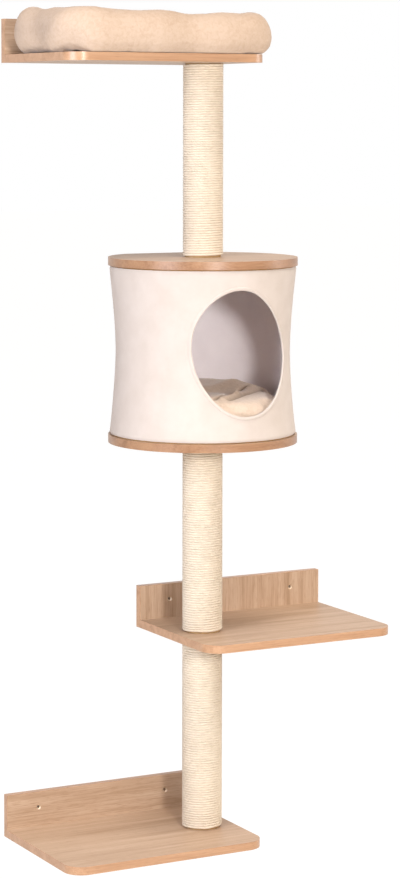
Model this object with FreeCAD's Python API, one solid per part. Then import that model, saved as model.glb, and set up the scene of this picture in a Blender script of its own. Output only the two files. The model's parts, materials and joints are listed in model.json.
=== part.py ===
import FreeCAD
import Part
import math
import os

# Wall mounted cat tree: three shelves, three rope-wound posts and a round
# fabric condo, hung on a wall by the panels that stand behind the shelves.
# Millimetres.  X runs along the wall, +Y into the wall, +Z up.  The wall is
# the plane Y = 0, and the origin is midway between the lower wall screws.

V = FreeCAD.Vector
UP = V(0, 0, 1)

# ---- shelves: a board with a wall panel standing on its back edge
board_length = 400.0
board_depth = 300.0
board_thickness = 15.0
board_corner_radius = 35.0
panel_height = 66.0
panel_thickness = 15.0
edge_band = 0.8               # laminated strip glued round the cut edges
wall_screw_spacing = 270.0
wall_screw_height = 36.0      # above the board's top face
wall_hole_radius = 2.75
wall_countersink_radius = 5.0
wall_countersink_depth = 2.5

# ---- posts: a cardboard tube wound with rope, with a plug in each end
post_length = 360.0
post_inset = 60.0             # post axis from the near end of a board
post_from_wall = 157.0
tube_radius = 33.4
tube_wall = 4.0
plug_length = 22.0
rope_thickness = 4.6
rope_loops = 24               # each drawn loop stands for three turns lying side by side
rope_gap = 0.5                # between neighbouring loops
rope_end_margin = 0.3         # from the boards above and below
rope_seat = 0.05              # rope off the tube

# ---- condo: floor and roof discs with a fabric sleeve stretched between them
disc_radius = 177.5
disc_thickness = 15.0
condo_height = 347.0          # over both discs
wall_gap = 1.0                # the discs' flat backs stand this far off the wall
sleeve_end_radius = 175.0
sleeve_waist_draw = 11.5      # how far the sleeve is drawn in at its waist
cover_thickness = 1.6
lining_thickness = 1.2
layer_gap = 0.2               # between cover and lining
ring_width = 18.0             # wooden rings that the sleeve's ends are stapled to
ring_thickness = 9.0
ring_screws = 5
hole_half_width = 97.0        # the clear opening, inside its binding
hole_top_margin = 53.0        # opening's top, below the roof disc's top face
hole_bottom_margin = 63.0     # opening's bottom, above the floor disc's underside
hole_level = 167.0            # opening's widest level, above the floor disc's underside
binding_width = 5.0
binding_proud = 1.0           # the binding stands proud of cover and lining

# ---- fasteners
bolt_radius = 4.0
bolt_head_radius = 9.0
bolt_head_height = 4.0
bolt_grip_in_insert = 15.0
insert_radius = 5.5
insert_length = 18.0
stud_grip = 15.0
screw_radius = 2.0
screw_head_radius = 4.0
screw_head_depth = 2.4
panel_screw_length = 45.0
panel_screw_spacing = 150.0
ring_screw_length = 18.0
thread_clearance = 0.05       # fastener in the piece that it grips
hole_clearance = 0.3          # fastener in the piece that it clamps

# ---- soft pieces
soft_clearance = 0.3
cushion_radius = 148.0
cushion_height = 84.0
cushion_side_draw = 26.0      # how far the rounded edge is drawn in at top and bottom
cushion_crown = 16.0
bed_length = 430.0
bed_depth = 302.0
bed_height = 80.0
bed_rim_width = 76.0
bed_corner_radius = 80.0      # outer corner of the bed
bed_shift = 8.0               # the bed lies off-centre along the shelf
bed_panel_gap = 2.0
pad_thickness = 26.0
pad_crown = 8.0
pad_tuck = 26.0               # how far the base reaches under the rim's curve
pad_dome_inset = 30.0         # from the rim's inner side to where the dome is full
pad_least_corner = 12.0

# ---- places that follow from the sizes
board_top_low = -wall_screw_height
post_x = board_length / 2 - post_inset
post_axis = V(post_x, -post_from_wall, 0)
board_top_mid = board_top_low + post_length + board_thickness
condo_floor = board_top_mid + post_length
condo_roof = condo_floor + condo_height
board_top_high = condo_roof + post_length + board_thickness
mid_shelf_x = post_x + board_length / 2 - post_inset
SHELVES = (("lower", 0.0, board_top_low), ("middle", mid_shelf_x, board_top_mid),
           ("upper", 0.0, board_top_high))
POSTS = (("lower", board_top_low), ("middle", board_top_mid), ("upper", condo_roof))


# ------------------------------------------------------------ small helpers

def box(x0, y0, z0, x1, y1, z1):
    return Part.makeBox(x1 - x0, y1 - y0, z1 - z0, V(x0, y0, z0))


def cylinder(radius, z0, z1, at=post_axis):
    return Part.makeCylinder(radius, z1 - z0, V(at.x, at.y, z0))


def prism(edges, thickness, direction=UP):
    return Part.Face(Part.Wire(edges)).extrude(direction * thickness)


def line(a, b):
    return Part.LineSegment(a, b).toShape()


def arc(a, through, b):
    return Part.Arc(a, through, b).toShape()


def one_solid(shape):
    # the single solid of a boolean result
    solids = shape.Solids
    if len(solids) != 1:
        raise ValueError("expected one solid, found %d" % len(solids))
    return solids[0]


# ------------------------------------------------------------ shelves

def board_blank(x_mid, top, inset):
    # board outline with both front corners rounded, drawn in by the inset
    x0 = x_mid - board_length / 2 + inset
    x1 = x_mid + board_length / 2 - inset
    y1 = -board_depth + inset
    r = board_corner_radius - inset
    z = top - board_thickness
    bend = r * (1 - math.sqrt(0.5))
    edges = [line(V(x0, 0, z), V(x1, 0, z)),
             line(V(x1, 0, z), V(x1, y1 + r, z)),
             arc(V(x1, y1 + r, z), V(x1 - bend, y1 + bend, z), V(x1 - r, y1, z)),
             line(V(x1 - r, y1, z), V(x0 + r, y1, z)),
             arc(V(x0 + r, y1, z), V(x0 + bend, y1 + bend, z), V(x0, y1 + r, z)),
             line(V(x0, y1 + r, z), V(x0, 0, z))]
    return prism(edges, board_thickness)


def panel_blank(x_mid, bottom, inset):
    half = board_length / 2 - inset
    return box(x_mid - half, -panel_thickness, bottom, x_mid + half, 0, bottom + panel_height - inset)


def panel_screw_places(x_mid):
    return [V(x_mid + k * panel_screw_spacing, -panel_thickness / 2, 0) for k in (-1, 0, 1)]


def countersunk_screw(head_at, direction, length, clearance=0.0):
    # head face at head_at, shank running along the direction
    r = screw_radius + clearance
    head = Part.makeCone(screw_head_radius + clearance, r, screw_head_depth, head_at, direction)
    shank = Part.makeCylinder(r, length, head_at, direction)
    return one_solid(head.fuse(shank).removeSplitter())


def panel_screws(x_mid, top):
    z = top - board_thickness
    return Part.makeCompound([countersunk_screw(V(p.x, p.y, z), UP, panel_screw_length)
                              for p in panel_screw_places(x_mid)])


def board(x_mid, top, fixing):
    # the fixing is the post joint's hole, cut through the board
    shape = board_blank(x_mid, top, edge_band).cut(fixing)
    for p in panel_screw_places(x_mid):
        start = V(p.x, p.y, top - board_thickness)
        shape = shape.cut(countersunk_screw(start, UP, board_thickness, hole_clearance))
    return one_solid(shape)


def board_edge_band(x_mid, top):
    return one_solid(board_blank(x_mid, top, 0).cut(board_blank(x_mid, top, edge_band)))


def wall_hole(x, z):
    into_wall = V(0, 1, 0)
    front = V(x, -panel_thickness, z)
    bore = Part.makeCylinder(wall_hole_radius, panel_thickness, front, into_wall)
    sink = Part.makeCone(wall_countersink_radius, wall_hole_radius, wall_countersink_depth,
                         front, into_wall)
    return bore.fuse(sink)


def wall_panel(x_mid, top):
    shape = panel_blank(x_mid, top, edge_band)
    for side in (-1, 1):
        shape = shape.cut(wall_hole(x_mid + side * wall_screw_spacing / 2, top + wall_screw_height))
    for p in panel_screw_places(x_mid):
        depth = panel_screw_length - board_thickness + thread_clearance
        pilot = Part.makeCylinder(screw_radius + thread_clearance, depth, V(p.x, p.y, top))
        shape = shape.cut(pilot)
    return one_solid(shape)


def panel_edge_band(x_mid, top):
    return one_solid(panel_blank(x_mid, top, 0).cut(panel_blank(x_mid, top, edge_band)))


# ------------------------------------------------------------ posts

def post_tube(bottom):
    outer = cylinder(tube_radius, bottom, bottom + post_length)
    return outer.cut(cylinder(tube_radius - tube_wall, bottom, bottom + post_length))


def post_plug(low, high):
    # wooden plug pressed and glued into the tube's end, bored for the threaded insert
    plug = cylinder(tube_radius - tube_wall - thread_clearance, low, high)
    return plug.cut(cylinder(insert_radius + thread_clearance, low, high))


def post_insert(end, inward):
    # threaded steel sleeve, flush with the post's end; inward is +1 up or -1 down
    low, high = sorted((end, end + inward * insert_length))
    sleeve = cylinder(insert_radius, low, high)
    return sleeve.cut(cylinder(bolt_radius + thread_clearance, low, high))


def post_inserts():
    shapes = []
    for _, bottom in POSTS:
        shapes += [post_insert(bottom, 1), post_insert(bottom + post_length, -1)]
    return Part.makeCompound(shapes)


def rope_pitch():
    return (post_length + rope_gap - 2 * rope_end_margin) / (rope_loops + 1)


def rope_band_width():
    return rope_pitch() - rope_gap


def helix_point(bottom, turns):
    # a point of the winding's centre line and its direction, after so many turns
    r = tube_radius + rope_seat + rope_thickness / 2
    a = 2 * math.pi * turns
    z = bottom + rope_end_margin + rope_band_width() / 2 + rope_pitch() * turns
    tangent = V(-r * math.sin(a), r * math.cos(a), rope_pitch() / (2 * math.pi))
    return V(post_axis.x + r * math.cos(a), post_axis.y + r * math.sin(a), z), tangent.normalize()


def tangent_arc(a, corner, b):
    # the arc from a to b that touches both sides of the corner
    half = (a - b).Length / 2
    weight = half / (a - corner).Length
    return arc(a, (a + corner * (2 * weight) + b) * (0.5 / (1 + weight)), b)


def biarc(p0, t0, p1, t1):
    chord = p1 - p0
    both = t0 + t1
    spread = 2 * (1 - t0.dot(t1))
    reach = (-chord.dot(both) + math.sqrt(chord.dot(both) ** 2 + spread * chord.dot(chord))) / spread
    corner0 = p0 + t0 * reach
    corner1 = p1 - t1 * reach
    joint = (corner0 + corner1) * 0.5
    return [tangent_arc(p0, corner0, joint), tangent_arc(joint, corner1, p1)]


def rope_winding(bottom):
    # one unbroken strand of oval section, wound up the tube, ends run straight
    quarters = 4 * rope_loops
    stops = [helix_point(bottom, k / 4.0) for k in range(quarters + 1)]
    first, first_way = stops[0]
    last, last_way = stops[-1]
    start = first - first_way * rope_thickness
    edges = [line(start, first)]
    for (p0, t0), (p1, t1) in zip(stops, stops[1:]):
        edges += biarc(p0, t0, p1, t1)
    edges.append(line(last, last + last_way * rope_thickness))
    outward = V(1, 0, 0)
    across = first_way.cross(outward).normalize() * (rope_band_width() / 2)
    section = Part.Ellipse(start + across, start + outward * (rope_thickness / 2), start).toShape()
    pipe = Part.BRepOffsetAPI.MakePipeShell(Part.Wire(edges))
    pipe.setBiNormalMode(UP)
    pipe.add(Part.Wire([section]))
    pipe.build()
    pipe.makeSolid()
    return pipe.shape()


def print_rope_gap():
    # least distance between two neighbouring loops, on points round both sections
    half = rope_band_width() / 2
    count = 72
    below = [V(rope_thickness / 2 * math.cos(a), 0, half * math.sin(a))
             for a in (2 * math.pi * k / count for k in range(count))]
    lead = math.atan2(rope_pitch(), 2 * math.pi * (tube_radius + rope_thickness / 2))
    step = V(0, 0, rope_pitch() * math.cos(lead))
    least = min((a - (b + step)).Length for a in below for b in below)
    print("rope loops: pitch %.2f, band %.2f, least gap %.2f" % (rope_pitch(), 2 * half, least))


# ------------------------------------------------------------ post fasteners

def flat_bolt(face, inward, grip, clearance_shank=0.0, clearance_head=0.0):
    # head sunk flush in a face at height face; inward is the way the shank runs
    way = V(0, 0, inward)
    at = V(post_axis.x, post_axis.y, face)
    head = Part.makeCylinder(bolt_head_radius + clearance_head, bolt_head_height, at, way)
    shank = Part.makeCylinder(bolt_radius + clearance_shank, grip, at, way)
    return one_solid(head.fuse(shank).removeSplitter())


def bolt_faces():
    # the face each head is sunk in, the way its shank runs, and what it clamps
    return ((board_top_low - board_thickness, 1, board_thickness),
            (condo_floor + disc_thickness, -1, disc_thickness),
            (condo_roof - disc_thickness, 1, disc_thickness),
            (board_top_high, -1, board_thickness))


def joint_bolts():
    return Part.makeCompound([flat_bolt(face, way, clamped + bolt_grip_in_insert)
                              for face, way, clamped in bolt_faces()])


def bolt_hole(which):
    face, way, clamped = bolt_faces()[which]
    return flat_bolt(face, way, clamped, hole_clearance, hole_clearance)


def joint_stud():
    # double-ended stud through the middle board, holding a post above and below
    return cylinder(bolt_radius, board_top_mid - board_thickness - stud_grip, board_top_mid + stud_grip)


def stud_hole():
    return cylinder(bolt_radius + hole_clearance, board_top_mid - board_thickness, board_top_mid)


# ------------------------------------------------------------ condo

def before_wall(shape, gap, reach=2.0):
    # keep what lies at least the gap in front of the wall
    size = reach * disc_radius
    keep = box(post_x - size, -post_from_wall - size, condo_floor - size,
               post_x + size, -gap, condo_roof + size)
    return shape.common(keep)


def disc_blank(low, radius):
    return before_wall(cylinder(radius, low, low + disc_thickness), wall_gap)


def disc_edge_band(low):
    return one_solid(disc_blank(low, disc_radius).cut(disc_blank(low, disc_radius - edge_band)))


def ring_screw_places():
    # spread round the front and sides, clear of the flat back
    places = []
    for k in range(ring_screws):
        a = math.radians(-90 + (k - (ring_screws - 1) / 2.0) * 230.0 / ring_screws)
        r = ring_outer_radius() - ring_width / 2
        places.append(V(post_x + r * math.cos(a), -post_from_wall + r * math.sin(a), 0))
    return places


def ring_screws_at(face, inward):
    # screws up or down through a ring into its disc
    return [countersunk_screw(V(p.x, p.y, face), V(0, 0, inward), ring_screw_length)
            for p in ring_screw_places()]


def floor_ring_face():
    return condo_floor + disc_thickness + ring_thickness


def roof_ring_face():
    return condo_roof - disc_thickness - ring_thickness


def condo_disc(low, bolt, ring_face, inward):
    shape = disc_blank(low, disc_radius - edge_band).cut(bolt_hole(bolt))
    for p in ring_screw_places():
        start = V(p.x, p.y, ring_face)
        pilot = Part.makeCylinder(screw_radius + thread_clearance,
                                  ring_screw_length + thread_clearance, start, V(0, 0, inward))
        shape = shape.cut(pilot)
    return one_solid(shape)


def sleeve_solid(inward):
    # the sleeve's drawn-in form, moved inward by the given amount, closed top and bottom
    low = condo_floor + disc_thickness
    high = condo_roof - disc_thickness
    end = sleeve_end_radius - inward
    waist = end - sleeve_waist_draw
    x, y = post_x, -post_from_wall
    edges = [line(V(x, y, low), V(x + end, y, low)),
             arc(V(x + end, y, low), V(x + waist, y, (low + high) / 2), V(x + end, y, high)),
             line(V(x + end, y, high), V(x, y, high)),
             line(V(x, y, high), V(x, y, low))]
    turned = Part.Face(Part.Wire(edges)).revolve(V(x, y, 0), UP, 360)
    return before_wall(turned, wall_gap + inward)


def sleeve_radius(height):
    # outer radius of the sleeve at a height above its lower end
    half = (condo_height - 2 * disc_thickness) / 2
    bow = (half ** 2 + sleeve_waist_draw ** 2) / (2 * sleeve_waist_draw)
    return sleeve_end_radius - sleeve_waist_draw + bow - math.sqrt(bow ** 2 - (height - half) ** 2)


def fabric_depth():
    return cover_thickness + layer_gap + lining_thickness


def hole_prism(margin):
    # the entrance, cut straight through the front of the sleeve
    z = condo_floor + hole_level
    y = -post_from_wall - 2 * disc_radius
    side = hole_half_width + margin
    rise = condo_height - hole_top_margin - hole_level + margin
    drop = hole_level - hole_bottom_margin + margin
    centre = V(post_x, y, z)
    right = V(post_x + side, y, z)
    left = V(post_x - side, y, z)
    edges = []
    for reach, a, b in ((rise, right, left), (-drop, left, right)):
        tip = V(post_x, y, z + reach)
        major, minor = (tip, right) if abs(reach) > side else (right, tip)
        oval = Part.Ellipse(major, minor, centre)
        ends = [oval.parameter(p) for p in (a, b)]
        turn = Part.ArcOfEllipse(oval, min(ends), max(ends)).toShape()
        if turn.distToShape(Part.Vertex(tip))[0] > 1:
            turn = Part.ArcOfEllipse(oval, max(ends), min(ends) + 2 * math.pi).toShape()
        edges.append(turn)
    return prism(edges, 2 * disc_radius, V(0, 1, 0))


def fabric_layer(outer_inset, thickness):
    shell = sleeve_solid(outer_inset).cut(sleeve_solid(outer_inset + thickness))
    return one_solid(shell.cut(hole_prism(binding_width)))


def condo_cover():
    return fabric_layer(0, cover_thickness)


def condo_lining():
    return fabric_layer(cover_thickness + layer_gap, lining_thickness)


def hole_binding():
    # bound edge of the entrance, standing proud of both fabric layers
    shell = sleeve_solid(-binding_proud).cut(sleeve_solid(fabric_depth() + binding_proud))
    return one_solid(shell.common(hole_prism(binding_width)).cut(hole_prism(0)))


def ring_outer_radius():
    return sleeve_radius(ring_thickness) - fabric_depth() - soft_clearance


def condo_ring(low, face, inward):
    outer = cylinder(ring_outer_radius(), low, low + ring_thickness)
    inner = cylinder(ring_outer_radius() - ring_width, low, low + ring_thickness)
    wall_side = wall_gap + fabric_depth() + soft_clearance
    ring = before_wall(outer, wall_side).cut(before_wall(inner, wall_side + ring_width / 2))
    for p in ring_screw_places():
        start = V(p.x, p.y, face)
        ring = ring.cut(countersunk_screw(start, V(0, 0, inward), ring_thickness, hole_clearance))
    return one_solid(ring)


# ------------------------------------------------------------ soft pieces

def condo_cushion():
    # round plush pad, crowned on top, its edge drawn in above and below
    low = condo_floor + disc_thickness + soft_clearance
    side = low + (cushion_height - cushion_crown) / 2
    shoulder = low + cushion_height - cushion_crown
    rim = cushion_radius - cushion_side_draw
    x, y = post_x, -post_from_wall
    dome = (rim ** 2 + cushion_crown ** 2) / (2 * cushion_crown)
    halfway_z = low + cushion_height - dome + math.sqrt(dome ** 2 - (rim / 2) ** 2)
    edges = [line(V(x, y, low), V(x + rim, y, low)),
             arc(V(x + rim, y, low), V(x + cushion_radius, y, side), V(x + rim, y, shoulder)),
             arc(V(x + rim, y, shoulder), V(x + rim / 2, y, halfway_z),
                 V(x, y, low + cushion_height)),
             line(V(x, y, low + cushion_height), V(x, y, low))]
    return Part.Face(Part.Wire(edges)).revolve(V(x, y, 0), UP, 360).Solids[0]


def rounded_loop(x0, y0, x1, y1, r, z):
    # closed rounded rectangle, as a wire
    bend = r * (1 - math.sqrt(0.5))
    return Part.Wire([
        line(V(x0 + r, y0, z), V(x1 - r, y0, z)),
        arc(V(x1 - r, y0, z), V(x1 - bend, y0 + bend, z), V(x1, y0 + r, z)),
        line(V(x1, y0 + r, z), V(x1, y1 - r, z)),
        arc(V(x1, y1 - r, z), V(x1 - bend, y1 - bend, z), V(x1 - r, y1, z)),
        line(V(x1 - r, y1, z), V(x0 + r, y1, z)),
        arc(V(x0 + r, y1, z), V(x0 + bend, y1 - bend, z), V(x0, y1 - r, z)),
        line(V(x0, y1 - r, z), V(x0, y0 + r, z)),
        arc(V(x0, y0 + r, z), V(x0 + bend, y0 + bend, z), V(x0 + r, y0, z))])


def bed_edges():
    # outer limits of the bed on the shelf: left, front, right, back
    back = -panel_thickness - bed_panel_gap
    return bed_shift - bed_length / 2, back - bed_depth, bed_shift + bed_length / 2, back


def bed_rim(extra):
    # fat oval tube bent round into a rounded rectangle, thicker all round by the extra
    x0, y0, x1, y1 = bed_edges()
    half = bed_rim_width / 2
    mid_z = board_top_high + soft_clearance + bed_height / 2
    r = bed_corner_radius - half
    path = rounded_loop(x0 + half, y0 + half, x1 - half, y1 - half, r, mid_z)
    start = V(x0 + half + r, y0 + half, mid_z)
    top = start + V(0, 0, bed_height / 2 + extra)
    side = start + V(0, half + extra, 0)
    major, minor = (top, side) if bed_height > bed_rim_width else (side, top)
    section = Part.Wire([Part.Ellipse(major, minor, start).toShape()])
    return path.makePipeShell([section], True, False)


def bed_bolster():
    return bed_rim(0)


def bed_pad():
    # quilted base, crowned in the middle, tucked under the curve of the rim
    x0, y0, x1, y1 = bed_edges()
    low = board_top_high + soft_clearance
    shoulder = low + pad_thickness - pad_crown
    tucked = bed_rim_width - pad_tuck
    domed = bed_rim_width + pad_dome_inset
    loops = [rounded_loop(x0 + inset, y0 + inset, x1 - inset, y1 - inset,
                          max(bed_corner_radius - inset, pad_least_corner), z)
             for z, inset in ((low, tucked), (shoulder, tucked), (low + pad_thickness, domed))]
    return one_solid(Part.makeLoft(loops, True, True).cut(bed_rim(soft_clearance)))


# ------------------------------------------------------------ the whole tree

def shelf_nodes():
    fixings = (bolt_hole(0), stud_hole(), bolt_hole(3))
    nodes = {}
    for (name, x_mid, top), fixing in zip(SHELVES, fixings):
        nodes[name + "_board"] = board(x_mid, top, fixing)
        nodes[name + "_board_edge_band"] = board_edge_band(x_mid, top)
        nodes[name + "_wall_panel"] = wall_panel(x_mid, top)
        nodes[name + "_panel_edge_band"] = panel_edge_band(x_mid, top)
        nodes[name + "_panel_screws"] = panel_screws(x_mid, top)
    return nodes


def post_nodes():
    nodes = {"post_threaded_inserts": post_inserts()}
    for name, bottom in POSTS:
        top = bottom + post_length
        nodes[name + "_post_tube"] = post_tube(bottom)
        nodes[name + "_post_rope"] = rope_winding(bottom)
        nodes[name + "_post_bottom_plug"] = post_plug(bottom, bottom + plug_length)
        nodes[name + "_post_top_plug"] = post_plug(top - plug_length, top)
    nodes["joint_bolts"] = joint_bolts()
    nodes["joint_stud"] = joint_stud()
    return nodes


def condo_nodes():
    roof_low = condo_roof - disc_thickness
    return {
        "condo_floor": condo_disc(condo_floor, 1, floor_ring_face(), -1),
        "condo_floor_edge_band": disc_edge_band(condo_floor),
        "condo_roof": condo_disc(roof_low, 2, roof_ring_face(), 1),
        "condo_roof_edge_band": disc_edge_band(roof_low),
        "condo_floor_ring": condo_ring(condo_floor + disc_thickness, floor_ring_face(), -1),
        "condo_roof_ring": condo_ring(roof_ring_face(), roof_ring_face(), 1),
        "condo_ring_screws": Part.makeCompound(ring_screws_at(floor_ring_face(), -1)
                                               + ring_screws_at(roof_ring_face(), 1)),
        "condo_cover": condo_cover(),
        "condo_lining": condo_lining(),
        "condo_hole_binding": hole_binding(),
        "condo_cushion": condo_cushion(),
    }


def bed_nodes():
    return {"bed_bolster": bed_bolster(), "bed_base_pad": bed_pad()}


os.makedirs("parts", exist_ok=True)
print_rope_gap()
for build in (shelf_nodes, post_nodes, condo_nodes, bed_nodes):
    for node, shape in build().items():
        shape.exportStep("parts/%s.step" % node)
        print("%-26s solids %d valid %s volume %.0f" % (node, len(shape.Solids), shape.isValid(), shape.Volume))
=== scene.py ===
import bpy
import json
import math
from mathutils import Matrix, Vector, noise


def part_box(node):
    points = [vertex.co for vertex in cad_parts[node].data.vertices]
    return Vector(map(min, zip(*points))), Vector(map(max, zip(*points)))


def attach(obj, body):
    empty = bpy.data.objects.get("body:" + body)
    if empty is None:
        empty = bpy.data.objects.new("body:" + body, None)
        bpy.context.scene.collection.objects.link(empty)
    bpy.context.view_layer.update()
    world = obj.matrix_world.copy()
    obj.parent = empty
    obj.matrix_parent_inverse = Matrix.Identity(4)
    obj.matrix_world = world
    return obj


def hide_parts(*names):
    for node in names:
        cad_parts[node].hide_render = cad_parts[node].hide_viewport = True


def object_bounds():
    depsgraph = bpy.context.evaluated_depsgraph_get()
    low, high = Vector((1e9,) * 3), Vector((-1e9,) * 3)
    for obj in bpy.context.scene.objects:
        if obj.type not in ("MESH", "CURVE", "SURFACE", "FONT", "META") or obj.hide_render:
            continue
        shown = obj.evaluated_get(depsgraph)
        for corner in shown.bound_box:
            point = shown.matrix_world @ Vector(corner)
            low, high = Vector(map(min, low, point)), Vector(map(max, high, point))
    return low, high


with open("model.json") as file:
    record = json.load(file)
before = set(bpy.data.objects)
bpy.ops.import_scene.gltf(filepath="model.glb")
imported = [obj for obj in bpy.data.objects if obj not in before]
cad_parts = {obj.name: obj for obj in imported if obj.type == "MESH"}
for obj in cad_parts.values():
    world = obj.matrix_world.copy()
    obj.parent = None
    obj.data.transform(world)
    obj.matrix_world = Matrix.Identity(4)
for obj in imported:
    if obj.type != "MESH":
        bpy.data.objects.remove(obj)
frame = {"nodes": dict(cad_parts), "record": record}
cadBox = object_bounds()
bpy.ops.object.select_all(action='DESELECT')

# Wall mounted cat tree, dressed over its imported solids. Metres, +Z up, wall at y = 0.
mm = 0.001
up = Vector((0, 0, 1))


def middle(node):
    low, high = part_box(node)
    return (low + high) / 2


def clamp(value, low, high):
    return min(max(value, low), high)


def eased(share):  # 0 to 1 with no corner at either end
    return share * share * (3 - 2 * share)


postX, postY = middle("lower_post_tube").x, middle("lower_post_tube").y
cadNodes = frame["nodes"]


# ---------- materials ----------

def linear(hexColour):  # sRGB hex to the linear colour that the shader wants
    parts = [int(hexColour[i:i + 2], 16) / 255 for i in (1, 3, 5)]
    return tuple(((c + 0.055) / 1.055) ** 2.4 if c > 0.04045 else c / 12.92 for c in parts) + (1.0,)


def addNode(material, kind, inputs=None, stops=None, **settings):
    node = material.node_tree.nodes.new(kind)
    for name, value in settings.items():
        setattr(node, name, value)
    for name, value in (inputs or {}).items():
        if isinstance(value, bpy.types.NodeSocket):
            material.node_tree.links.new(value, node.inputs[name])
        else:
            node.inputs[name].default_value = value
    if stops:
        elements = node.color_ramp.elements
        while len(elements) < len(stops):
            elements.new(0.5)
        for element, (place, colour) in zip(elements, stops):
            element.position = place
            element.color = linear(colour) if isinstance(colour, str) else (colour, colour, colour, 1)
    return node


def newMaterial(name):
    material = bpy.data.materials.new(name)
    material.use_nodes = True
    shader = material.node_tree.nodes["Principled BSDF"]
    return material, shader


def setShader(material, shader, values):
    for name, value in values.items():
        if isinstance(value, bpy.types.NodeSocket):
            material.node_tree.links.new(value, shader.inputs[name])
        else:
            shader.inputs[name].default_value = value


laminate = {
    "boardLight": "#C2A78E", "boardMiddle": "#B6997F", "boardDark": "#A18367",
    "bandLight": "#C39B79", "bandMiddle": "#B78D6B", "bandDark": "#A37A58",
    "discLight": "#A88261", "discMiddle": "#9C7455", "discDark": "#886243",
    "pore": "#8F6C4E",
    "core": "#DCC6AA",        # bare board showing in the countersinks
    "coreRadius": 4.4 * mm,
    "coreEdge": 0.2 * mm,
    "fineAcross": 420.0,      # streaks about 2.4 mm apart
    "fineAlong": 9.0,
    "figureAcross": 42.0,     # broad figure about 24 mm wide
    "figureAlong": 2.2,
    "poreAcross": 1500.0,     # printed pores 0.7 mm wide, 20 mm long
    "poreAlong": 50.0,
}


def laminateMaterial(name, along, face="board", holes=()):
    # melamine-faced particle board with a light oak print: matt, flat, with printed pores
    # an edge band, of a shelf or of a disc, is the same print on a thin ABS strip, warmer and glossier
    material, shader = newMaterial(name)
    place = addNode(material, "ShaderNodeTexCoord").outputs["Object"]

    def stretched(alongScale, acrossScale):
        scale = [acrossScale] * 3
        scale["xyz".index(along)] = alongScale
        return addNode(material, "ShaderNodeMapping", {"Vector": place, "Scale": scale}).outputs["Vector"]

    figure = addNode(material, "ShaderNodeTexNoise", {
        "Vector": stretched(laminate["figureAlong"], laminate["figureAcross"]),
        "Scale": 1.0, "Detail": 3.0, "Roughness": 0.55, "Distortion": 1.1}).outputs["Fac"]
    fine = addNode(material, "ShaderNodeTexNoise", {
        "Vector": stretched(laminate["fineAlong"], laminate["fineAcross"]),
        "Scale": 1.0, "Detail": 4.0, "Roughness": 0.6, "Distortion": 0.3}).outputs["Fac"]
    mixed = addNode(material, "ShaderNodeMix", {0: 0.45, 2: figure, 3: fine}).outputs[0]
    tones = [laminate[face + tone] for tone in ("Dark", "Middle", "Light")]
    grain = addNode(material, "ShaderNodeValToRGB", {"Fac": mixed},
                    stops=[(0.34, tones[0]), (0.49, tones[1]), (0.64, tones[2])]).outputs["Color"]
    pores = addNode(material, "ShaderNodeTexNoise", {
        "Vector": stretched(laminate["poreAlong"], laminate["poreAcross"]),
        "Scale": 1.0, "Detail": 1.0, "Roughness": 0.4}).outputs["Fac"]
    poreMask = addNode(material, "ShaderNodeValToRGB", {"Fac": pores},
                       stops=[(0.60, 0.0), (0.72, 0.55)]).outputs["Color"]
    colour = addNode(material, "ShaderNodeMix", {0: poreMask, 6: grain, 7: linear(laminate["pore"])},
                     data_type="RGBA").outputs[2]
    for hole in holes:
        away = addNode(material, "ShaderNodeVectorMath", {0: place, 1: hole},
                       operation="DISTANCE").outputs["Value"]
        bare = addNode(material, "ShaderNodeMapRange", {
            "Value": away, "From Min": laminate["coreRadius"],
            "From Max": laminate["coreRadius"] + laminate["coreEdge"],
            "To Min": 1.0, "To Max": 0.0}).outputs["Result"]
        colour = addNode(material, "ShaderNodeMix", {0: bare, 6: colour, 7: linear(laminate["core"])},
                         data_type="RGBA").outputs[2]
    bump = addNode(material, "ShaderNodeBump", {"Height": pores, "Strength": 0.12, "Distance": 0.00015})
    smoothest, roughest, shine = (0.40, 0.52, 0.4) if face == "board" else (0.28, 0.40, 0.5)
    rough = addNode(material, "ShaderNodeMapRange", {
        "Value": fine, "To Min": smoothest, "To Max": roughest}).outputs["Result"]
    setShader(material, shader, {"Base Color": colour, "Roughness": rough, "Normal": bump.outputs["Normal"],
                                 "IOR": 1.5, "Specular IOR Level": shine})
    return material


sisal = {
    "light": "#DDD0BC", "middle": "#D1C3AD", "dark": "#AD9A7F",
    "strandLength": 13.0 * mm,   # one twist of the three strands
    "fibresAlong": 160.0,        # per metre of rope
    "fibresAround": 16.0,        # round the rope
    # painted shade in the grooves between the three strands
    "strandGroovePaintedShade": 0.10,
    "patchScale": 45.0,          # lighter and darker stretches about 22 mm long
    "patchTint": 0.5,
    "creviceFrom": 0.13, "creviceTo": 0.21,   # as a share of the way round from a turn's face; painted light on the face, painted shade towards the neighbouring turns
    # painted light on each turn's outer face, painted shade where the turns meet
    "crestPaintedLight": 0.19, "crevicePaintedShade": -0.12,
}


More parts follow.
